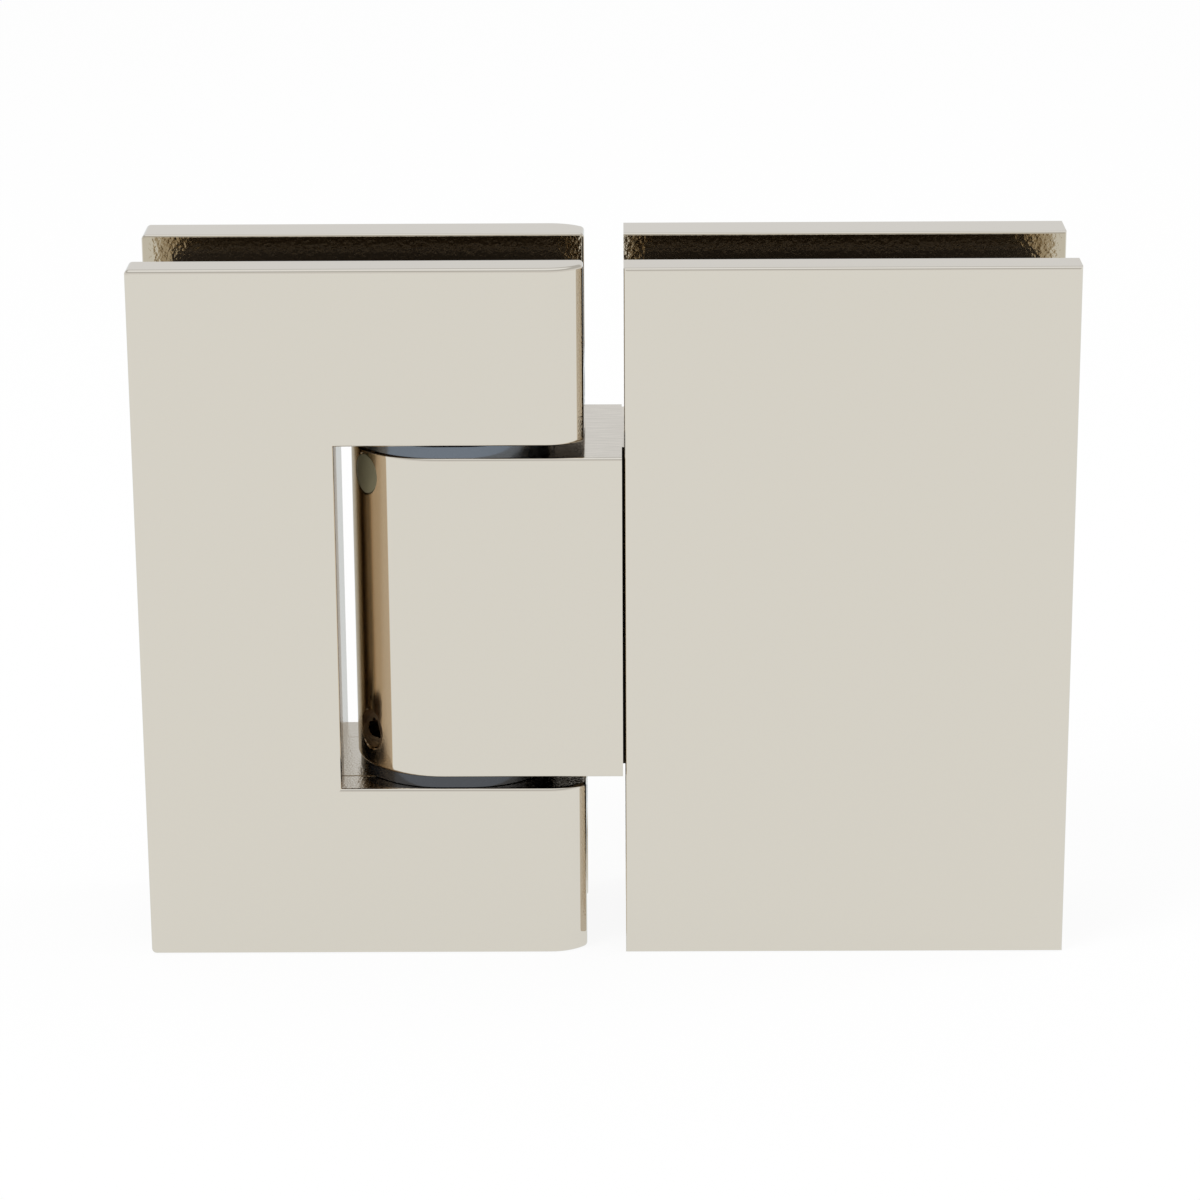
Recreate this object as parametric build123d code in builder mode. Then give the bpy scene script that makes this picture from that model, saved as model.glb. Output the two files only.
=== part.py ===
# Glass-to-glass shower door hinge, closed: the door leaf on the left, the fixed leaf on the right.
# Millimetres. X runs along the two leaves, Y from the front to the back and Z up. The origin is at
# the bottom of the leaves, midway along the hinge and midway through its thickness.

import os
from math import cos, radians, sin, sqrt

from build123d import *

# Leaves, and the glass between their plates
leaf_height = 90.0
leaf_width = 56.0
leaf_gap = 5.0
front_plate_thickness = 5.0
back_plate_thickness = 6.5
glass_thickness = 10.0
glass_play = 0.25  # from each face of the glass to its gasket, before clamping
gasket_thickness = 2.0

# Knuckle of the fixed leaf, and the cut-out and frame of the door leaf
pivot_setback = 16.5  # from the free ends of the arms back to the pivot axis
knuckle_height = 42.0
knuckle_seam = 0.3  # from the knuckle's shoulder to the edge of the fixed front plate
root_length = 16.0  # how far the knuckle's root reaches between the fixed plates
nose_flat = 3.0  # what stays straight across the end of the round nose
nose_clearance = 1.5  # from the nose to the wall of the cut-out
grip_width = 17.0  # of the door's glass, from the outer edge of the leaf to the frame
frame_setback = 0.8  # of the frame's wall, behind the edge of the front plate's cut-out
arm_core_height = 8.5  # arms of the frame, above and below the cut-out
clamp_gap = 0.1  # what frame and root stand short of the front plates, so that the glass is clamped

# Edges
arm_end_reach = 4.6  # bowed ends of the arms, along the outer face
arm_end_depth = 2.2  # and down to the end face
arm_end_edge_radius = 0.8  # where the bow meets the end face
door_corner_radius = 0.6
door_edge_radius = 0.5
fixed_edge_radius = 0.4
slot_edge_radius = 0.3
knuckle_edge_radius = 0.4

# Pivot pin, bushes and thrust washers
pin_radius = 6.0
pin_end_recess = 0.5  # below the outer ends of the arms' bores
pin_end_chamfer = 0.6
pin_fit = 0.02
running_clearance = 0.03
bore_clearance = 0.4  # round the pin, between the bushes
bush_wall = 1.5
bush_fit = 0.02
washer_thickness = 1.4
washer_play = 0.1
washer_margin = 0.3  # what the washers stand back from the nose
washer_bore_clearance = 0.3

# Detent block, springs and retainer
pin_flat_depth = 0.5
pin_flat_margin = 1.0  # above and below the block
detent_clearance = 0.05  # from the block's face to the round of the pin
block_length = 11.0
block_width = 9.0
block_height = 24.0
block_side_clearance = 0.1
block_end_clearance = 0.2  # to the bushes
block_chamfer = 0.6
spring_radius = 3.4  # outside
spring_wire_width = 1.4
spring_wire_height = 1.2  # along the spring
spring_turns = 6.0
spring_end_distance = 6.5  # from the ends of the block
spring_seat_depth = 3.0
spring_seat_clearance = 0.3
retainer_thickness = 2.5
retainer_lap = 6.0  # past the pocket, above and below
retainer_clearance = 0.1

# Clamp screws and their bosses
screw_fit = 0.02
clamp_screw_radius = 3.0
clamp_screw_length = 20.0
clamp_head_radius = 5.6
clamp_head_recess = 0.3
clamp_hole_clearance = 0.25
clamp_socket_width = 4.0  # across flats
clamp_socket_depth = 2.6
clamp_screw_spread = 50.0  # between the two screws of a leaf
boss_radius = 5.0
boss_height = 6.0
boss_stand_off = 1.0  # from the bosses to the frame or the root
thread_run_out = 0.8  # past the end of a screw
countersink_angle = 90.0

# Grub screws in the arms and in the nose, the plug, and the screws of the retainer
grub_radius = 2.5
grub_length = 6.0
grub_socket_width = 2.5  # across flats
grub_socket_depth = 2.2
nose_screw_length = 2.6
nose_socket_depth = 1.6
nose_screw_angle = 54.0  # round the nose, from the front face
lower_nose_screw_distance = 4.8  # from the lower end of the knuckle
upper_nose_screw_distance = 3.3  # from the upper end of the knuckle
nose_mouth_chamfer = 0.2
plug_fit = 0.03
plug_recess = 0.1  # below the surface of the nose
retainer_screw_radius = 1.5
retainer_screw_length = 7.0
retainer_head_radius = 2.8
retainer_socket_width = 2.0  # across flats
retainer_socket_depth = 1.2

# Gaskets
gasket_end_inset = 5.0  # below the top and above the bottom of the plates
gasket_side_inset = 2.0
gasket_clearance = 1.5  # round the frame, the root and the bosses
gasket_corner_radius = 2.0

# Depths, from the front face to the back face
glass_slot = glass_thickness + 2 * (glass_play + gasket_thickness)
thickness = front_plate_thickness + glass_slot + back_plate_thickness
front_y = -thickness / 2
slot_front_y = front_y + front_plate_thickness
core_front_y = slot_front_y + clamp_gap
slot_back_y = slot_front_y + glass_slot
back_y = thickness / 2

# Heights
middle_z = leaf_height / 2
knuckle_low_z = middle_z - knuckle_height / 2
knuckle_high_z = middle_z + knuckle_height / 2
cut_low_z = knuckle_low_z - washer_thickness - washer_play
cut_high_z = knuckle_high_z + washer_thickness + washer_play
frame_low_z = cut_low_z - arm_core_height
frame_high_z = cut_high_z + arm_core_height

# Places along the hinge
door_left_x = -leaf_gap / 2 - leaf_width
door_right_x = -leaf_gap / 2
fixed_left_x = leaf_gap / 2
fixed_right_x = leaf_gap / 2 + leaf_width
pivot_x = door_right_x - pivot_setback
nose_reach = thickness / 2
nose_corner_radius = nose_reach - nose_flat / 2
cut_left_x = pivot_x - nose_reach - nose_clearance
frame_cut_left_x = cut_left_x - frame_setback
frame_left_x = door_left_x + grip_width
shoulder_x = fixed_left_x - knuckle_seam
root_end_x = fixed_left_x + root_length
bush_radius = pin_radius + bush_wall
bush_length = (knuckle_height - block_height) / 2 - block_end_clearance

# Detent, from the pin towards the end of the root
block_left_x = pivot_x + pin_radius + detent_clearance
block_right_x = block_left_x + block_length
pocket_width = block_width + 2 * block_side_clearance
pocket_height = block_height + 2 * block_side_clearance
recess_height = pocket_height + 2 * retainer_lap
retainer_left_x = root_end_x - retainer_thickness
spring_left_x = block_right_x - spring_seat_depth
spring_length = retainer_left_x - spring_left_x

# Directions, and how close two measures lie that count as the same
back = Vector(0, 1, 0)
right = Vector(1, 0, 0)
nose_sine, nose_cosine = sin(radians(nose_screw_angle)), cos(radians(nose_screw_angle))
nose_direction = Vector(-nose_sine, -nose_cosine, 0)
tolerance = 0.01


def facing_front(y):
    """A plane at depth y that faces the front, with X to the right and Z up."""
    return Plane.XZ.offset(-y)


def planes_at(direction, points):
    """A plane at each point, facing along a direction."""
    return [Plane(point, z_dir=direction) for point in points]


def mirrored_heights(half_spread):
    """Two heights, the same distance below and above the middle of the leaf."""
    return (middle_z - half_spread, middle_z + half_spread)


def clamp_planes(x, y):
    """Planes that face the back on the two clamp screws of a leaf."""
    return planes_at(back, [(x, y, z) for z in clamp_heights])


def nose_planes(radius, heights):
    """Planes that face out along the nose's screw holes, at a distance from the pivot axis."""
    return planes_at(nose_direction, [Vector(pivot_x, 0, z) + nose_direction * radius for z in heights])


# Screw places
clamp_heights = mirrored_heights(clamp_screw_spread / 2)
arm_heights = mirrored_heights((cut_high_z - cut_low_z + arm_core_height) / 2)
retainer_heights = mirrored_heights((pocket_height + retainer_lap) / 2)
nose_heights = (knuckle_low_z + lower_nose_screw_distance, knuckle_high_z - upper_nose_screw_distance)
spring_heights = mirrored_heights(block_height / 2 - spring_end_distance)
door_screw_x = frame_left_x - boss_stand_off - boss_radius
fixed_screw_x = root_end_x + boss_stand_off + boss_radius
clamp_head_y = back_y - clamp_head_recess
boss_end_y = slot_front_y + boss_height
boss_thread_depth = boss_end_y - (clamp_head_y - clamp_screw_length) + thread_run_out
nose_head_radius = bush_radius + screw_fit + nose_screw_length
nose_mouth_offset = nose_flat / 2 * (nose_sine - nose_cosine)  # of the screw's axis from the corner's centre
nose_mouth_reach = sqrt(nose_corner_radius**2 - nose_mouth_offset**2)
nose_mouth_radius = nose_flat / 2 * (nose_sine + nose_cosine) + nose_mouth_reach
arm_screw_x = pivot_x + pin_radius + screw_fit + grub_length


def rectangle(left_x, right_x, low, high, mode=Mode.ADD):
    """A rectangle between four sides, in the sketch that is open."""
    with Locations(((left_x + right_x) / 2, (low + high) / 2)):
        Rectangle(right_x - left_x, high - low, mode=mode)


def door_outline(wall_x):
    """A plate of the door leaf with its cut-out up to a wall, in the sketch that is open."""
    rectangle(door_left_x, door_right_x, 0, leaf_height)
    rectangle(wall_x, door_right_x, cut_low_z, cut_high_z, mode=Mode.SUBTRACT)


def nose_outline(margin):
    """The round end of the knuckle, set in by a margin, in the sketch that is open."""
    side = 2 * (nose_reach - margin)
    with Locations((pivot_x, 0)):
        RectangleRounded(side, side, nose_corner_radius - margin)


def edges_at(part, y):
    """The edges of a part that lie at depth y."""
    return part.edges().filter_by_position(Axis.Y, y - tolerance, y + tolerance)


def on_outside(point):
    """Whether a point is at the top, the bottom or an outer side of the leaves."""
    from_side = min(point.X - door_left_x, fixed_right_x - point.X)
    from_end = min(point.Z, leaf_height - point.Z)
    return min(from_side, from_end) < door_corner_radius


def soften_slot_edges(plate, slot_y):
    """Round the upper, lower and outer edges of the face that a plate turns to the glass."""
    slot_edges = edges_at(plate, slot_y)
    fillet([edge for edge in slot_edges if on_outside(edge.center())], slot_edge_radius)


def soften_door_plate(plate, face_y, slot_y):
    """Bow a door plate's free arm ends, and round its outer corners and the outlines of its two faces."""
    bow_y = face_y + (arm_end_depth if slot_y > face_y else -arm_end_depth)
    with BuildSketch() as corner:
        with BuildLine():
            bow = TangentArc((door_right_x - arm_end_reach, face_y), (door_right_x, bow_y), tangent=(1, 0))
            Polyline(bow @ 1, (door_right_x, face_y), bow @ 0)
        make_face()
    extrude(corner.sketch, amount=leaf_height, mode=Mode.SUBTRACT)
    fillet(edges_at(plate, bow_y).filter_by(Axis.Z), arm_end_edge_radius)
    fillet(plate.edges().filter_by(Axis.Y).group_by(Axis.X)[0], door_corner_radius)
    face_edges = edges_at(plate, face_y)
    bow_starts = face_edges.filter_by(Axis.Z).group_by(Axis.X)[-1]
    fillet([edge for edge in face_edges if edge not in bow_starts], door_edge_radius)
    soften_slot_edges(plate, slot_y)


def add_bosses(x):
    """Tapped bosses on the inner face of a front plate, in the part that is open."""
    with Locations(*clamp_planes(x, boss_end_y)):
        Cylinder(boss_radius, boss_height, align=(Align.CENTER, Align.CENTER, Align.MAX))
        Hole(clamp_screw_radius + screw_fit, boss_thread_depth)


def cut_clamp_holes(x):
    """Countersunk holes through a back plate, in the part that is open."""
    with Locations(*clamp_planes(x, back_y)):
        CounterSinkHole(
            clamp_screw_radius + clamp_hole_clearance,
            clamp_head_radius + clamp_head_recess + screw_fit,
            back_plate_thickness,
            countersink_angle,
        )


def cut_sockets(heads, width, depth):
    """Hexagonal sockets in the heads of screws, in the part that is open."""
    with BuildSketch(*heads) as sockets:
        RegularPolygon(width / 2, 6, major_radius=False)
    extrude(sockets.sketch, amount=-depth, mode=Mode.SUBTRACT)


def countersunk_screws(heads, radius, length, head_radius, socket_width, socket_depth):
    """Countersunk socket screws, each from the flat of its head inwards."""
    with BuildPart() as screws:
        with Locations(*heads):
            Cylinder(radius, length, align=(Align.CENTER, Align.CENTER, Align.MAX))
            Cone(radius, head_radius, head_radius - radius, align=(Align.CENTER, Align.CENTER, Align.MAX))
        cut_sockets(heads, socket_width, socket_depth)
    return screws


def grub_screws(heads, length, socket_depth):
    """Headless socket screws, each from its socket end inwards."""
    with BuildPart() as screws:
        with Locations(*heads):
            Cylinder(grub_radius, length, align=(Align.CENTER, Align.CENTER, Align.MAX))
        cut_sockets(heads, grub_socket_width, socket_depth)
    return screws


def ring(low_z, height, outer_radius, inner_radius):
    """A ring round the pivot axis."""
    with BuildPart() as band:
        with BuildSketch(Plane.XY.offset(low_z)):
            with Locations((pivot_x, 0)):
                Circle(outer_radius)
                Circle(inner_radius, mode=Mode.SUBTRACT)
        extrude(amount=height)
    return band


def gasket(plate_left_x, plate_right_x, cut_out, screw_x, pad_back_y):
    """A pad on one face of the glass, cut back round a core and the clamp screws beside it."""
    with BuildPart() as pad:
        with BuildSketch(facing_front(pad_back_y)):
            rectangle(
                plate_left_x + gasket_side_inset,
                plate_right_x - gasket_side_inset,
                gasket_end_inset,
                leaf_height - gasket_end_inset,
            )
            rectangle(*cut_out, mode=Mode.SUBTRACT)
            with Locations(*[(screw_x, z) for z in clamp_heights]):
                Circle(boss_radius + gasket_clearance, mode=Mode.SUBTRACT)
        extrude(amount=gasket_thickness)
        corners = pad.edges().filter_by(Axis.Y)
        fillet(corners.group_by(Axis.Z)[0] + corners.group_by(Axis.Z)[-1], gasket_corner_radius)
    return pad


def coil_spring(z):
    """A compression spring of flat wire along X, from its seat in the block to the retainer."""
    coil_length = spring_length - spring_wire_height
    with BuildPart() as spring:
        with BuildLine() as coil:
            Helix(
                coil_length / spring_turns,
                coil_length,
                spring_radius - spring_wire_width / 2,
                center=(spring_left_x + spring_wire_height / 2, 0, z),
                direction=(1, 0, 0),
            )
        with BuildSketch(Plane(coil.line @ 0, x_dir=(1, 0, 0), z_dir=coil.line % 0)):
            Rectangle(spring_wire_height, spring_wire_width)
        sweep(is_frenet=True)
    return spring


def write(name, piece):
    """Label a finished piece and write it to its own file."""
    piece.part.label = name
    export_step(piece.part, f"parts/{name}.step")


os.makedirs("parts", exist_ok=True)

# Fixed back body: the back plate and the knuckle, cast in one
with BuildPart() as fixed_back_body:
    # Knuckle: a block with a round nose about the pivot axis
    with BuildSketch(Plane.XY.offset(knuckle_low_z)):
        nose_outline(0)
        rectangle(pivot_x, shoulder_x, front_y, back_y)
    extrude(amount=knuckle_height)
    ends = fixed_back_body.faces().filter_by(Axis.Z).edges()
    shoulder = fixed_back_body.faces().sort_by(Axis.X)[-1].edges()
    fillet([edge for edge in ends if edge not in shoulder], knuckle_edge_radius)
    # Root: what reaches between the plates
    with BuildSketch(Plane.XY.offset(knuckle_low_z)):
        rectangle(pivot_x, root_end_x, core_front_y, slot_back_y)
    extrude(amount=knuckle_height)
    # Back plate, and the neck that joins it to the back of the knuckle
    with BuildSketch(facing_front(back_y)):
        rectangle(fixed_left_x, fixed_right_x, 0, leaf_height)
        rectangle(
            pivot_x,
            fixed_left_x,
            knuckle_low_z + knuckle_edge_radius,
            knuckle_high_z - knuckle_edge_radius,
        )
    extrude(amount=back_plate_thickness)
    rim = fixed_back_body.faces().sort_by(Axis.Y)[-1].edges()
    plate_rim = rim.filter_by_position(Axis.X, fixed_left_x, fixed_right_x + tolerance, (False, True))
    fillet(plate_rim, fixed_edge_radius)
    soften_slot_edges(fixed_back_body, slot_back_y)
    # Bore for the pin, with a seat for a bush at each end
    with Locations((pivot_x, 0, knuckle_high_z)):
        Hole(pin_radius + bore_clearance, knuckle_height)
        Hole(bush_radius, bush_length)
    with Locations((pivot_x, 0, knuckle_low_z + bush_length)):
        Hole(bush_radius, bush_length)
    # Pocket for the detent block and its springs, and the recess for the retainer that closes it
    with BuildSketch(Plane.YZ.offset(root_end_x)):
        with Locations((0, middle_z)):
            Rectangle(pocket_width, pocket_height)
    extrude(amount=pivot_x - root_end_x, mode=Mode.SUBTRACT)
    with BuildSketch(Plane.YZ.offset(root_end_x)):
        with Locations((0, middle_z)):
            Rectangle(pocket_width, recess_height)
    extrude(amount=-retainer_thickness, mode=Mode.SUBTRACT)
    # Screw holes
    with Locations(*planes_at(right, [(root_end_x, 0, z) for z in retainer_heights])):
        Hole(retainer_screw_radius + screw_fit, retainer_screw_length + thread_run_out)
    with Locations(*nose_planes(nose_mouth_radius, nose_heights)):
        CounterSinkHole(
            grub_radius + screw_fit,
            grub_radius + screw_fit + nose_mouth_chamfer,
            nose_mouth_radius - pin_radius,
            countersink_angle,
        )
    cut_clamp_holes(fixed_screw_x)
write("fixed_back_body", fixed_back_body)

# Fixed front plate: a plain cover with a tapped boss for each clamp screw
with BuildPart() as fixed_front_plate:
    with BuildSketch(facing_front(slot_front_y)):
        rectangle(fixed_left_x, fixed_right_x, 0, leaf_height)
    extrude(amount=front_plate_thickness)
    fillet(fixed_front_plate.faces().sort_by(Axis.Y)[0].edges(), fixed_edge_radius)
    soften_slot_edges(fixed_front_plate, slot_front_y)
    add_bosses(fixed_screw_x)
write("fixed_front_plate", fixed_front_plate)

# Door back body: the back plate and the frame round the cut-out, cast in one
with BuildPart() as door_back_body:
    with BuildSketch(facing_front(back_y)):
        door_outline(frame_cut_left_x)
    extrude(amount=back_plate_thickness)
    soften_door_plate(door_back_body, back_y, slot_back_y)
    with BuildSketch(facing_front(slot_back_y)):
        rectangle(frame_left_x, door_right_x, frame_low_z, frame_high_z)
        rectangle(frame_cut_left_x, door_right_x, cut_low_z, cut_high_z, mode=Mode.SUBTRACT)
    extrude(amount=slot_back_y - core_front_y)
    # Bores for the pin, and for the grub screws that lock it in the arms
    with Locations((pivot_x, 0, frame_high_z)):
        Hole(pin_radius + pin_fit, frame_high_z - frame_low_z)
    with Locations(*planes_at(right, [(door_right_x, 0, z) for z in arm_heights])):
        Hole(grub_radius + screw_fit, pivot_setback)
    cut_clamp_holes(door_screw_x)
write("door_back_body", door_back_body)

# Door front plate: a cover with the same cut-out, and a tapped boss for each clamp screw
with BuildPart() as door_front_plate:
    with BuildSketch(facing_front(slot_front_y)):
        door_outline(cut_left_x)
    extrude(amount=front_plate_thickness)
    soften_door_plate(door_front_plate, front_y, slot_front_y)
    add_bosses(door_screw_x)
write("door_front_plate", door_front_plate)

# Gaskets: a pad on each face of each pane
door_cut_out = (
    frame_left_x - gasket_clearance,
    door_right_x,
    frame_low_z - gasket_clearance,
    frame_high_z + gasket_clearance,
)
fixed_cut_out = (
    fixed_left_x,
    root_end_x + gasket_clearance,
    knuckle_low_z - gasket_clearance,
    knuckle_high_z + gasket_clearance,
)
for side, pad_back_y in (("front", slot_front_y + gasket_thickness), ("back", slot_back_y)):
    door_pad = gasket(door_left_x, door_right_x, door_cut_out, door_screw_x, pad_back_y)
    write(f"door_{side}_gasket", door_pad)
    fixed_pad = gasket(fixed_left_x, fixed_right_x, fixed_cut_out, fixed_screw_x, pad_back_y)
    write(f"fixed_{side}_gasket", fixed_pad)

# Clamp screws, from the back into the front plates
for leaf, screw_x in (("door", door_screw_x), ("fixed", fixed_screw_x)):
    clamp_screws = countersunk_screws(
        clamp_planes(screw_x, clamp_head_y),
        clamp_screw_radius,
        clamp_screw_length,
        clamp_head_radius,
        clamp_socket_width,
        clamp_socket_depth,
    )
    write(f"{leaf}_clamp_screws", clamp_screws)

# Pivot pin: held in the arms, with four flats where the detent block bears on it
with BuildPart() as pivot_pin:
    with Locations((pivot_x, 0, middle_z)):
        Cylinder(pin_radius, frame_high_z - frame_low_z - 2 * pin_end_recess)
    chamfer(pivot_pin.edges().filter_by(GeomType.CIRCLE), pin_end_chamfer)
    flats_height = block_height + 2 * pin_flat_margin
    across_flats = 2 * (pin_radius - pin_flat_depth)
    with BuildSketch(Plane.XY.offset(middle_z - flats_height / 2)):
        with Locations((pivot_x, 0)):
            Circle(2 * pin_radius)
            Rectangle(across_flats, across_flats, mode=Mode.SUBTRACT)
    extrude(amount=flats_height, mode=Mode.SUBTRACT)
write("pivot_pin", pivot_pin)

# Grub screws that lock the pin in the arms
arm_screw_planes = planes_at(right, [(arm_screw_x, 0, z) for z in arm_heights])
pin_set_screws = grub_screws(arm_screw_planes, grub_length, grub_socket_depth)
write("pin_set_screws", pin_set_screws)

# Bushes in the ends of the knuckle's bore, and thrust washers between the knuckle and the arms
bush_outer_radius = bush_radius - bush_fit
bush_inner_radius = pin_radius + running_clearance
for name, low_z in (("lower_bush", knuckle_low_z), ("upper_bush", knuckle_high_z - bush_length)):
    write(name, ring(low_z, bush_length, bush_outer_radius, bush_inner_radius))
for name, low_z in (
    ("lower_thrust_washer", knuckle_low_z - washer_thickness),
    ("upper_thrust_washer", knuckle_high_z),
):
    with BuildPart() as washer:
        with BuildSketch(Plane.XY.offset(low_z)):
            nose_outline(washer_margin)
            with Locations((pivot_x, 0)):
                Circle(pin_radius + washer_bore_clearance, mode=Mode.SUBTRACT)
        extrude(amount=washer_thickness)
    write(name, washer)

# Grub screws in the nose that lock the bushes, and the plug over the upper one
nose_screw_planes = nose_planes(nose_head_radius, nose_heights)
bush_set_screws = grub_screws(nose_screw_planes, nose_screw_length, nose_socket_depth)
write("bush_set_screws", bush_set_screws)
with BuildPart() as nose_plug:
    with BuildSketch(*nose_planes(nose_head_radius + plug_fit, nose_heights[1:])):
        Circle(grub_radius - plug_fit)
    extrude(amount=nose_mouth_radius - nose_head_radius)
    with BuildSketch():
        nose_outline(plug_recess)
    extrude(amount=leaf_height, mode=Mode.INTERSECT)
write("nose_plug", nose_plug)

# Detent block: a slider whose flat face bears on the pin, with a seat for each spring
with BuildPart() as detent_block:
    with Locations((block_left_x, 0, middle_z)):
        Box(block_length, block_width, block_height, align=(Align.MIN, Align.CENTER, Align.CENTER))
    chamfer(detent_block.faces().sort_by(Axis.X)[0].edges(), block_chamfer)
    with Locations(*planes_at(right, [(block_right_x, 0, z) for z in spring_heights])):
        Hole(spring_radius + spring_seat_clearance, spring_seat_depth)
write("detent_block", detent_block)

# Springs behind the block
for name, z in zip(("lower_detent_spring", "upper_detent_spring"), spring_heights):
    write(name, coil_spring(z))

# Retainer plate that closes the spring pocket, and its screws
retainer_planes = planes_at(right, [(root_end_x, 0, z) for z in retainer_heights])
with BuildPart() as spring_retainer:
    with Locations((root_end_x, 0, middle_z)):
        Box(
            retainer_thickness,
            pocket_width - 2 * retainer_clearance,
            recess_height - 2 * retainer_clearance,
            align=(Align.MAX, Align.CENTER, Align.CENTER),
        )
    with Locations(*retainer_planes):
        CounterSinkHole(
            retainer_screw_radius + retainer_clearance,
            retainer_head_radius + screw_fit,
            retainer_thickness,
            countersink_angle,
        )
write("spring_retainer", spring_retainer)
retainer_screws = countersunk_screws(
    retainer_planes,
    retainer_screw_radius,
    retainer_screw_length,
    retainer_head_radius,
    retainer_socket_width,
    retainer_socket_depth,
)
write("retainer_screws", retainer_screws)
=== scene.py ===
import math

import bpy
from mathutils import Matrix, Vector


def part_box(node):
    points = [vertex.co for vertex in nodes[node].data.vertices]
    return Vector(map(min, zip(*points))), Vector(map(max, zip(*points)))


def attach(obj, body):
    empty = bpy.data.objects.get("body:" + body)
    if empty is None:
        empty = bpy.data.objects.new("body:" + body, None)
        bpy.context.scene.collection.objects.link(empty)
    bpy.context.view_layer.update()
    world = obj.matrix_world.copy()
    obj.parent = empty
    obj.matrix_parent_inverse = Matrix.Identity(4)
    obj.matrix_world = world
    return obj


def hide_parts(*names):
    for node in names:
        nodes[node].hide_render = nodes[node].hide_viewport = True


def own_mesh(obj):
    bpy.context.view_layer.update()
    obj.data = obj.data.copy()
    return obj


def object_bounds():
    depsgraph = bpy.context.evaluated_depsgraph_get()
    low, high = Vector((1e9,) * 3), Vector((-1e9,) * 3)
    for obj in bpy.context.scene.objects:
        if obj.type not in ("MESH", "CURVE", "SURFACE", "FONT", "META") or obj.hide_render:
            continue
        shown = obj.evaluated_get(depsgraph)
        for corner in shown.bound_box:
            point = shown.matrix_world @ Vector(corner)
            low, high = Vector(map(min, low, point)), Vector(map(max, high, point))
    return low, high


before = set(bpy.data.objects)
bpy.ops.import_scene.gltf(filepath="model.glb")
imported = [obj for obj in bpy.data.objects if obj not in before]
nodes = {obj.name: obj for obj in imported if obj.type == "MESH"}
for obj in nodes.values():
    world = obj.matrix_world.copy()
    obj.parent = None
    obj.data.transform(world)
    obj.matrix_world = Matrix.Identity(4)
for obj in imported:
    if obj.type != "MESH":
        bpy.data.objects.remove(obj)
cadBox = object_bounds()
mm = 0.001
print("hinge loaded,", len(nodes), "nodes")


def linear(hexColour):
    channels = [int(hexColour[i:i + 2], 16) / 255 for i in (1, 3, 5)]
    return [c / 12.92 if c <= 0.04045 else ((c + 0.055) / 1.055) ** 2.4 for c in channels] + [1.0]


plainWhite = linear("#FFFFFF")
noiseLow, noiseHigh = 0.3, 0.7  # nearly all of a noise texture's values lie between these


# adds a node, with its settings and with its inputs as values or links
def addNode(tree, kind, inputs=None, **settings):
    node = tree.nodes.new(kind)
    for name, value in settings.items():
        setattr(node, name, value)
    for name, value in (inputs or {}).items():
        if isinstance(value, bpy.types.NodeSocket):
            tree.links.new(value, node.inputs[name])
        else:
            node.inputs[name].default_value = value
    return node


# an empty material, its tree and its shader, ready for a surface to be built on
def newMaterial(name):
    material = bpy.data.materials.new(name)
    material.use_nodes = True
    return material, material.node_tree, material.node_tree.nodes["Principled BSDF"]


# camera, matched to the edges of the hinge in a frame of 1200 by 1200 pixels
cameraSettings = {
    "place": Vector((2.2, -499.8, 203.8)) * mm,
    "pitch": math.radians(17.79),  # down
    "yaw": math.radians(-0.33),
    "roll": math.radians(-0.315),
    "lens": 122.7,  # in millimetres, as is the sensor's width
    "sensor": 36,
    "clipStart": 10 * mm,
}


def makeCamera(settings):
    data = bpy.data.cameras.new("studioCamera")
    data.lens = settings["lens"]
    data.sensor_width = settings["sensor"]
    data.sensor_fit = "HORIZONTAL"
    data.clip_start = settings["clipStart"]
    pitch, yaw, roll = settings["pitch"], settings["yaw"], settings["roll"]
    ahead = Vector((math.sin(yaw) * math.cos(pitch), math.cos(yaw) * math.cos(pitch), -math.sin(pitch)))
    right = Vector((math.cos(yaw), -math.sin(yaw), 0))
    up = right.cross(ahead)
    rolledRight = math.cos(roll) * right + math.sin(roll) * up
    rolledUp = math.cos(roll) * up - math.sin(roll) * right
    turn = Matrix((rolledRight, rolledUp, -ahead)).transposed().to_4x4()
    camera = bpy.data.objects.new("studioCamera", data)
    camera.matrix_world = Matrix.Translation(settings["place"]) @ turn
    bpy.context.scene.collection.objects.link(camera)
    bpy.context.scene.camera = camera


makeCamera(cameraSettings)
print("camera placed")

# bare nickel throws back this much light, so every further bounce between two faces turns it browner
nickelColour = "#E8DECF"

# nickel plate over polished brass: buffed to a mirror, so the eye gets the studio in a warm pale grey,
# a little uneven from the buffing wheel
polishedNickel = {
    "roughness": 0.025,
    "waveSize": 14 * mm,
    "waveHeight": 0.003 * mm,
    "waveDetail": 1.0,  # finer waves on the main ones
    "waveFade": 0.4,  # how strong these are
}


def makePolishedNickel(settings):
    material, tree, shader = newMaterial("polishedNickel")
    place = addNode(tree, "ShaderNodeTexCoord")
    waves = addNode(tree, "ShaderNodeTexNoise", {
        "Vector": place.outputs["Object"],
        "Scale": 1 / settings["waveSize"],
        "Detail": settings["waveDetail"],
        "Roughness": settings["waveFade"]})
    bump = addNode(tree, "ShaderNodeBump", {
        "Height": waves.outputs["Fac"], "Strength": 1.0, "Distance": settings["waveHeight"]})
    shader.inputs["Base Color"].default_value = linear(nickelColour)
    shader.inputs["Metallic"].default_value = 1.0
    shader.inputs["Roughness"].default_value = settings["roughness"]
    tree.links.new(bump.outputs["Normal"], shader.inputs["Normal"])
    return material


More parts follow.
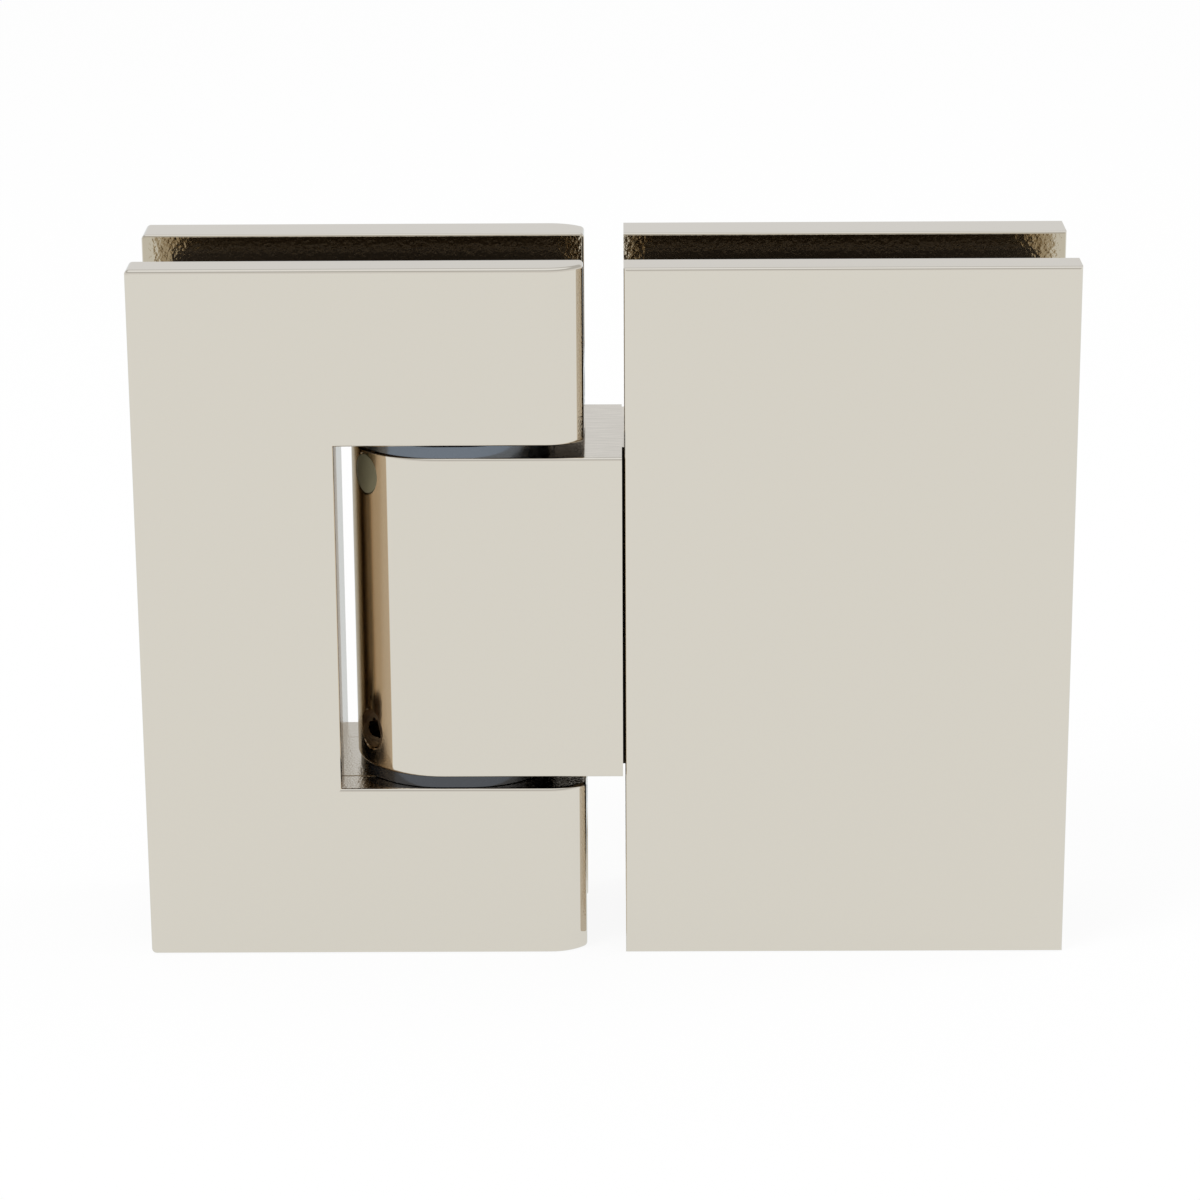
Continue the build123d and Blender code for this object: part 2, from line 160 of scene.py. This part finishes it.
# nickel plate over brass that wasn't polished first, with the grain that casting, blasting or the bath left
grainyNickels = {
    # as it came from the mould: pebbled, with sparks near the mouths of the slots and dark further in
    "castNickel": {
        "colour": "#CCBFA9", "roughness": 0.06, "grainSize": 0.55 * mm, "grainHeight": 0.025 * mm},
    # shot-blasted: a soft sparkle on a pale grey
    "blastedNickel": {
        "colour": "#D6CCBD", "roughness": 0.12, "grainSize": 0.3 * mm, "grainHeight": 0.05 * mm},
    # dulled in the bath, beside the knuckle: blurred reflections, pale at a glancing angle
    "dulledNickel": {
        "colour": "#BFB5A4", "roughness": 0.2, "grainSize": 0.35 * mm, "grainHeight": 0.01 * mm},
    # painted shade for the faces turned down above and below the knuckle, in the narrow gaps: dark, and
    # pale only at a glancing angle
    "paintedShadeNickel": {
        "colour": "#43392D", "roughness": 0.14, "grainSize": 0.35 * mm, "grainHeight": 0.01 * mm},
    # so thin that the brass warms it
    "thinNickel": {
        "colour": "#D3BFA5", "roughness": 0.25, "grainSize": 0.35 * mm, "grainHeight": 0.01 * mm},
}


def makeGrainyNickel(name, settings):
    material, tree, shader = newMaterial(name)
    place = addNode(tree, "ShaderNodeTexCoord")
    grain = addNode(tree, "ShaderNodeTexNoise", {
        "Vector": place.outputs["Object"], "Scale": 1 / settings["grainSize"]})
    bump = addNode(tree, "ShaderNodeBump", {
        "Height": grain.outputs["Fac"], "Strength": 1.0, "Distance": settings["grainHeight"]})
    shader.inputs["Base Color"].default_value = linear(settings["colour"])
    shader.inputs["Metallic"].default_value = 1.0
    shader.inputs["Roughness"].default_value = settings["roughness"]
    tree.links.new(bump.outputs["Normal"], shader.inputs["Normal"])
    return material


# nickel plate over brass that was faced on an abrasive belt: softer reflections with fine streaks along
# the belt, drawn coarser than the grit so that they show
linishedNickel = {
    "roughness": (0.06, 0.14),
    "streakWidth": 0.25 * mm,
    "streakLength": 4 * mm,
    "streakHeight": 0.006 * mm,
    "streakDetail": 3.0,  # finer streaks on the main ones
    "streakColours": ("#D6CDBF", "#F0E6D8"),  # in the grooves and on the ridges
    "beltAngle": math.radians(8),
}


def makeLinishedNickel(settings):
    material, tree, shader = newMaterial("linishedNickel")
    place = addNode(tree, "ShaderNodeTexCoord")
    across = 1 / settings["streakWidth"]
    stretch = addNode(tree, "ShaderNodeMapping", {
        "Vector": place.outputs["Object"],
        "Rotation": (0, 0, settings["beltAngle"]),
        "Scale": (1 / settings["streakLength"], across, across)})
    streaks = addNode(tree, "ShaderNodeTexNoise", {
        "Vector": stretch.outputs["Vector"], "Scale": 1.0, "Detail": settings["streakDetail"]})
    low, high = settings["roughness"]
    dullness = addNode(tree, "ShaderNodeMapRange", {
        "Value": streaks.outputs["Fac"],
        "From Min": noiseLow, "From Max": noiseHigh, "To Min": low, "To Max": high})
    bump = addNode(tree, "ShaderNodeBump", {
        "Height": streaks.outputs["Fac"], "Strength": 1.0, "Distance": settings["streakHeight"]})
    groove, ridge = settings["streakColours"]
    lightness = addNode(tree, "ShaderNodeMapRange", {
        "Value": streaks.outputs["Fac"], "From Min": noiseLow, "From Max": noiseHigh})
    tone = addNode(tree, "ShaderNodeMixRGB", {
        "Fac": lightness.outputs["Result"], "Color1": linear(groove), "Color2": linear(ridge)})
    tree.links.new(tone.outputs[0], shader.inputs["Base Color"])
    shader.inputs["Metallic"].default_value = 1.0
    tree.links.new(dullness.outputs["Result"], shader.inputs["Roughness"])
    tree.links.new(bump.outputs["Normal"], shader.inputs["Normal"])
    return material


# the inner pieces, with grain as fine as the render can show
innerFinishes = {
    # stainless steel from the lathe: tool marks that soften its shine
    "turnedStainless": {
        "colour": "#B9B7B2", "metallic": 1.0, "roughness": (0.2, 0.32),
        "grain": 0.12 * mm, "height": 0.002 * mm},
    # grub screws out of hot oil: dark and brownish, with a dull shine
    "blackenedSteel": {
        "colour": "#6E6152", "metallic": 1.0, "roughness": (0.3, 0.42),
        "grain": 0.15 * mm, "height": 0.002 * mm},
    # brass that the plating didn't reach, with hardly any shine, and dark as painted shade in the seam
    # under the front plate
    "paintedShadeBrass": {
        "colour": "#3A3226", "metallic": 1.0, "roughness": (0.5, 0.6),
        "grain": 0.3 * mm, "height": 0.01 * mm},
    # spring wire from the drawing die: dark grey, half bright
    "drawnSpringSteel": {
        "colour": "#6F6D6A", "metallic": 1.0, "roughness": (0.28, 0.4),
        "grain": 0.2 * mm, "height": 0.003 * mm},
    # bearing bronze from the lathe: warm, with tool marks
    "turnedBronze": {
        "colour": "#B98E55", "metallic": 1.0, "roughness": (0.25, 0.4),
        "grain": 0.12 * mm, "height": 0.002 * mm},
    # nylon filled with dry lubricant, under the door's weight: rubbed to a pale metallic sheen
    "burnishedGreyNylon": {
        "colour": "#747A82", "metallic": 0.85, "roughness": (0.14, 0.22),
        "grain": 0.4 * mm, "height": 0.002 * mm},
    # the same nylon, darker as painted shade for the lower washer, in the gap under the knuckle
    "paintedShadeGreyNylon": {
        "colour": "#555659", "metallic": 0.85, "roughness": (0.14, 0.22),
        "grain": 0.4 * mm, "height": 0.002 * mm},
    # nylon from a smooth mould: a faint sheen
    "mouldedOliveNylon": {
        "colour": "#837E65", "metallic": 0.0, "roughness": (0.3, 0.4),
        "grain": 0.4 * mm, "height": 0.004 * mm},
    # rubber cut from sheet: nearly black, and stays dull
    "cutBlackRubber": {
        "colour": "#352D25", "metallic": 0.0, "roughness": (0.6, 0.75),
        "grain": 0.3 * mm, "height": 0.02 * mm},
}


def makeInnerFinish(name, settings):
    material, tree, shader = newMaterial(name)
    place = addNode(tree, "ShaderNodeTexCoord")
    grain = addNode(tree, "ShaderNodeTexNoise", {
        "Vector": place.outputs["Object"], "Scale": 1 / settings["grain"]})
    low, high = settings["roughness"]
    dullness = addNode(tree, "ShaderNodeMapRange", {
        "Value": grain.outputs["Fac"],
        "From Min": noiseLow, "From Max": noiseHigh, "To Min": low, "To Max": high})
    bump = addNode(tree, "ShaderNodeBump", {
        "Height": grain.outputs["Fac"], "Strength": 1.0, "Distance": settings["height"]})
    shader.inputs["Base Color"].default_value = linear(settings["colour"])
    shader.inputs["Metallic"].default_value = settings["metallic"]
    tree.links.new(dullness.outputs["Result"], shader.inputs["Roughness"])
    tree.links.new(bump.outputs["Normal"], shader.inputs["Normal"])
    return material


polished = makePolishedNickel(polishedNickel)
linished = makeLinishedNickel(linishedNickel)
grainy = {name: makeGrainyNickel(name, settings) for name, settings in grainyNickels.items()}
cast, blasted, dulled, paintedShade, thin = grainy.values()
inner = {name: makeInnerFinish(name, settings) for name, settings in innerFinishes.items()}
print("materials made")

# where one finish meets another on the castings, in metres
armReach = 0.3 * mm  # past the washers, to take in the faces of the arms
gapReach = 0.5 * mm  # past the side of the fixed plate, into the gap between the leaves
finishEdges = {
    "slotFront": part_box("door_front_gasket")[0].y,
    "slotBack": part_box("door_back_gasket")[1].y,
    "knuckleLow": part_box("lower_thrust_washer")[1].z,
    "knuckleHigh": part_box("upper_thrust_washer")[0].z,
    "cutOutLow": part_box("lower_thrust_washer")[0].z - armReach,
    "cutOutHigh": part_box("upper_thrust_washer")[1].z + armReach,
    "plateSide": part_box("fixed_front_plate")[0].x - gapReach,
    "near": 0.05 * mm,
    "rootGap": 0.2 * mm,  # the root stands a little short of the front plate
    "level": 0.9,  # how upright a normal is on a level face
}


# gives each facet of a node one of the finishes of the castings, by where it lies and where it faces
def dressCasting(name, chooseFinish):
    mesh = nodes[name].data
    finishes = [polished, linished, *grainy.values(), inner["paintedShadeBrass"]]
    mesh.materials.clear()
    for finish in finishes:
        mesh.materials.append(finish)
    for facet in mesh.polygons:
        facet.material_index = finishes.index(chooseFinish(facet.center, facet.normal))


def inCutOut(place):
    between = finishEdges["cutOutLow"] < place.z < finishEdges["cutOutHigh"]
    return between and place.x < finishEdges["plateSide"]


def fixedPlateFinish(place, normal):
    if place.y > finishEdges["slotFront"] - finishEdges["near"]:
        return cast
    return blasted if normal.x < -finishEdges["level"] else polished


def doorPlateFinish(place, normal):
    if place.y > finishEdges["slotFront"] - finishEdges["near"]:
        return cast
    # painted shade: faces turned down in the cut-out, over the gaps by the knuckle, take the dark nickel
    if inCutOut(place) and normal.z < -finishEdges["level"]:
        return paintedShade
    if inCutOut(place) and normal.x > finishEdges["level"]:
        return thin
    return blasted if inCutOut(place) and normal.z > finishEdges["level"] else polished


def fixedBodyFinish(place, normal):
    onTop = abs(place.z - finishEdges["knuckleHigh"]) < finishEdges["near"]
    underneath = abs(place.z - finishEdges["knuckleLow"]) < finishEdges["near"]
    if onTop and normal.z > finishEdges["level"]:
        return linished
    # painted shade: the knuckle's underside, in the gap over the lower arm, takes the dark nickel
    if underneath and normal.z < -finishEdges["level"]:
        return paintedShade
    beforeBack = place.y < finishEdges["slotBack"] + finishEdges["near"]
    inSlot = beforeBack and place.x > finishEdges["plateSide"]
    underPlate = abs(place.y - finishEdges["slotFront"]) < finishEdges["rootGap"]
    # painted shade: the root's face in the seam under the front plate takes the dark brass
    if inSlot and underPlate and normal.y < -finishEdges["level"]:
        return inner["paintedShadeBrass"]
    return cast if inSlot else polished


def doorBodyFinish(place, normal):
    if inCutOut(place) and normal.z > finishEdges["level"]:
        return blasted
    # painted shade: faces turned down in the cut-out, over the gaps by the knuckle, take the dark nickel
    if inCutOut(place) and normal.z < -finishEdges["level"]:
        return paintedShade
    if inCutOut(place) and normal.x > finishEdges["level"]:
        return dulled
    return cast if place.y < finishEdges["slotBack"] + finishEdges["near"] else polished


dressCasting("fixed_front_plate", fixedPlateFinish)
dressCasting("door_front_plate", doorPlateFinish)
dressCasting("fixed_back_body", fixedBodyFinish)
dressCasting("door_back_body", doorBodyFinish)

innerNodes = {
    "turnedStainless": ["retainer_screws", "pivot_pin", "detent_block", "spring_retainer"],
    "blackenedSteel": ["pin_set_screws", "bush_set_screws"],
    "drawnSpringSteel": ["lower_detent_spring", "upper_detent_spring"],
    "turnedBronze": ["lower_bush", "upper_bush"],
    "burnishedGreyNylon": ["upper_thrust_washer"],
    # painted shade: the lower washer takes the darker copy of the nylon
    "paintedShadeGreyNylon": ["lower_thrust_washer"],
    "mouldedOliveNylon": ["nose_plug"],
    "cutBlackRubber": [
        "fixed_front_gasket", "fixed_back_gasket", "door_front_gasket", "door_back_gasket"],
}
for finish, names in innerNodes.items():
    for name in names:
        nodes[name].data.materials.clear()
        nodes[name].data.materials.append(inner[finish])
print("pieces dressed")

# each of the detent's springs gets a mesh of its own; on the hinge they shorten towards the retainer as the
# block slides
for name in innerNodes["drawnSpringSteel"]:
    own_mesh(nodes[name])
print("springs set")

# clamp screws with their threads, on the places of the plain ones
clampScrew = {
    "shankRadius": 3 * mm,
    "pitch": 1 * mm,
    "threadDepth": 0.6 * mm,
    "crestShare": 0.2,  # of the pitch, and as much again at the root
    "endChamfer": 0.8 * mm,
    "headLand": 0.3 * mm,  # straight edge under the flat of the head
    "edgeRounding": 0.12 * mm,
    "socketWidth": 4 * mm,  # across flats
    "socketDepth": 2.6 * mm,
    "socketChamfer": 0.15 * mm,
    "drillPoint": 0.8 * mm,  # cone left at the bottom of the socket
    "segments": 48,
    "rowsPerPitch": 8,
    "sharpAngle": math.radians(40),
}


# height of the thread above its root, from 0 to 1, at a share of one pitch
def threadProfile(share, crestShare):
    flank = 0.5 - crestShare
    fromCrest = abs((share % 1) - 0.5)
    return 1 - min(max((fromCrest - crestShare / 2) / flank, 0), 1)


# rings from the bottom of the socket, up over the head and down the thread to the screw's end
def screwRings(settings, length, headRadius):
    angles = [2 * math.pi * i / settings["segments"] for i in range(settings["segments"])]
    flat = settings["socketWidth"] / 2
    sixth = math.pi / 3
    hexagon = [flat / math.cos((angle + sixth / 2) % sixth - sixth / 2) for angle in angles]
    chamfer = settings["socketChamfer"]
    rounding = settings["edgeRounding"]
    rings = [
        (-settings["socketDepth"], hexagon),
        (-chamfer, hexagon),
        (0, [radius + chamfer for radius in hexagon]),
        (0, [headRadius - rounding] * len(angles)),
        (-rounding, [headRadius] * len(angles)),
        (-settings["headLand"], [headRadius] * len(angles)),
    ]
    shank = settings["shankRadius"]
    threadTop = -settings["headLand"] - (headRadius - shank)
    rings.append((threadTop, [shank] * len(angles)))
    step = settings["pitch"] / settings["rowsPerPitch"]
    rows = int((length + threadTop) / step)
    for row in range(1, rows + 1):
        depth = threadTop - row * step
        taper = max(0, settings["endChamfer"] - (length + depth))
        radii = []
        for angle in angles:
            share = depth / settings["pitch"] - angle / (2 * math.pi)
            lift = threadProfile(share, settings["crestShare"])
            run = min(1, row / settings["rowsPerPitch"])  # the thread deepens over its first turn
            radii.append(shank - max(taper, run * (1 - lift) * settings["threadDepth"]))
        rings.append((depth, radii))
    return angles, rings


def makeClampScrews(name, node, body, settings):
    low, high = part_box(node)
    headRadius = (high.x - low.x) / 2
    angles, rings = screwRings(settings, high.y - low.y, headRadius)
    count = len(angles)
    points, faces = [], []
    for height in (low.z + headRadius, high.z - headRadius):
        start = len(points)
        place = Vector((low.x + headRadius, high.y, height))
        for depth, radii in rings:
            for angle, radius in zip(angles, radii):
                side, rise = radius * math.sin(angle), radius * math.cos(angle)
                points.append(place + Vector((side, depth, rise)))
        for ring in range(len(rings) - 1):
            for i in range(count):
                a = start + ring * count + i
                b = start + ring * count + (i + 1) % count
                faces.append((a, b, b + count, a + count))
        floorDepth = rings[0][0] - settings["drillPoint"]
        points.append(place + Vector((0, floorDepth, 0)))
        drill = len(points) - 1
        last = start + (len(rings) - 1) * count
        for i in range(count):
            faces.append((drill, start + (i + 1) % count, start + i))
        faces.append(tuple(last + i for i in range(count)))
    mesh = bpy.data.meshes.new(name)
    mesh.from_pydata(points, [], faces)
    mesh.polygons.foreach_set("use_smooth", [True] * len(mesh.polygons))
    mesh.set_sharp_from_angle(angle=settings["sharpAngle"])
    mesh.materials.append(inner["turnedStainless"])
    screws = bpy.data.objects.new(name, mesh)
    bpy.context.scene.collection.objects.link(screws)
    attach(screws, body)
    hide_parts(node)


makeClampScrews("doorClampScrews", "door_clamp_screws", "door_leaf", clampScrew)
makeClampScrews("fixedClampScrews", "fixed_clamp_screws", "fixed_leaf", clampScrew)
print("screws threaded")

# floor and studio: white all round, with a grey ring under a white ceiling that draws the rounded edges
studio = {
    "floorSize": 6.0,  # in metres
    "floorDrop": 0.05 * mm,
    "floorColour": "#F2F2F2",
    "floorWhite": 0.92,  # share of plain white, and the rest takes the shadow
    "floorInMetal": "#E8EEF2",  # what the nickel shows of the floor
    "softLight": 0.75,
    # what the nickel shows of the dome, by height as the sine of the elevation
    "dome": [(0.0, "#DEE1E4"), (0.4, "#DEE1E4"), (0.52, "#BDC0C2"), (0.82, "#BDC0C2"), (0.9, "#F2F8FF")],
    "bounces": 24,  # between the walls of the slots
}


# 1 where the background is seen, by the eye or in metal or glass
def seesBackground(tree, path):
    inMetal = addNode(tree, "ShaderNodeMath", {
        0: path.outputs["Is Camera Ray"], 1: path.outputs["Is Glossy Ray"]}, operation="MAXIMUM")
    inGlass = addNode(tree, "ShaderNodeMath", {
        0: inMetal.outputs[0], 1: path.outputs["Is Transmission Ray"]}, operation="MAXIMUM")
    return inGlass.outputs[0]


def makeFloor(settings):
    half = settings["floorSize"] / 2
    mesh = bpy.data.meshes.new("floor")
    corners = [(-half, -half, 0), (half, -half, 0), (half, half, 0), (-half, half, 0)]
    mesh.from_pydata(corners, [], [(0, 1, 2, 3)])
    floor = bpy.data.objects.new("floor", mesh)
    floor.location.z = -settings["floorDrop"]
    bpy.context.scene.collection.objects.link(floor)
    material, tree, shader = newMaterial("paperFloor")
    tree.nodes.remove(shader)
    path = addNode(tree, "ShaderNodeLightPath")
    paper = addNode(tree, "ShaderNodeBsdfDiffuse", {"Color": linear(settings["floorColour"])})
    tone = addNode(tree, "ShaderNodeMixRGB", {
        "Fac": path.outputs["Is Camera Ray"],
        "Color1": linear(settings["floorInMetal"]),
        "Color2": plainWhite})
    white = addNode(tree, "ShaderNodeEmission", {"Color": tone.outputs[0], "Strength": 1.0})
    share = addNode(tree, "ShaderNodeMath", {
        0: seesBackground(tree, path), 1: settings["floorWhite"]}, operation="MULTIPLY")
    mix = addNode(tree, "ShaderNodeMixShader", {
        0: share.outputs[0], 1: paper.outputs[0], 2: white.outputs[0]})
    tree.links.new(mix.outputs[0], tree.nodes["Material Output"].inputs["Surface"])
    mesh.materials.append(material)


def makeWorld(settings):
    world = bpy.data.worlds.new("studioDome")
    bpy.context.scene.world = world
    world.use_nodes = True
    tree = world.node_tree
    tree.nodes.clear()
    path = addNode(tree, "ShaderNodeLightPath")
    place = addNode(tree, "ShaderNodeTexCoord")
    split = addNode(tree, "ShaderNodeSeparateXYZ", {"Vector": place.outputs["Generated"]})
    dome = addNode(tree, "ShaderNodeValToRGB", {"Fac": split.outputs["Z"]})
    stops = dome.color_ramp.elements
    while len(stops) < len(settings["dome"]):
        stops.new(1.0)
    for stop, (height, colour) in zip(stops, settings["dome"]):
        stop.position = height
        stop.color = linear(colour)
    tone = addNode(tree, "ShaderNodeMixRGB", {
        "Fac": path.outputs["Is Camera Ray"], "Color1": dome.outputs["Color"], "Color2": plainWhite})
    seen = addNode(tree, "ShaderNodeBackground", {"Color": tone.outputs[0], "Strength": 1.0})
    soft = addNode(tree, "ShaderNodeBackground", {
        "Color": plainWhite, "Strength": settings["softLight"]})
    mix = addNode(tree, "ShaderNodeMixShader", {
        0: seesBackground(tree, path), 1: soft.outputs[0], 2: seen.outputs[0]})
    addNode(tree, "ShaderNodeOutputWorld", {"Surface": mix.outputs[0]})


makeFloor(studio)
makeWorld(studio)
bpy.context.scene.cycles.max_bounces = studio["bounces"]
bpy.context.scene.cycles.glossy_bounces = studio["bounces"]

# two soft boxes overhead, sizes in metres: the key at the front left, the fill at the right
softBoxes = {
    "key": {"place": (-0.5, -0.45, 1.0), "size": 0.5, "watts": 5.0},
    "fill": {"place": (0.7, 0.1, 0.9), "size": 0.5, "watts": 2.5},
}
middle = (cadBox[0] + cadBox[1]) / 2
for name, settings in softBoxes.items():
    data = bpy.data.lights.new(name, "AREA")
    data.shape = "DISK"
    data.size = settings["size"]
    data.energy = settings["watts"]
    box = bpy.data.objects.new(name, data)
    box.location = settings["place"]
    box.rotation_euler = (middle - Vector(settings["place"])).to_track_quat("-Z", "Y").to_euler()
    box.visible_glossy = False  # the dome is what the nickel shows
    bpy.context.scene.collection.objects.link(box)

bpy.context.scene.view_settings.view_transform = "Standard"
print("studio lit")
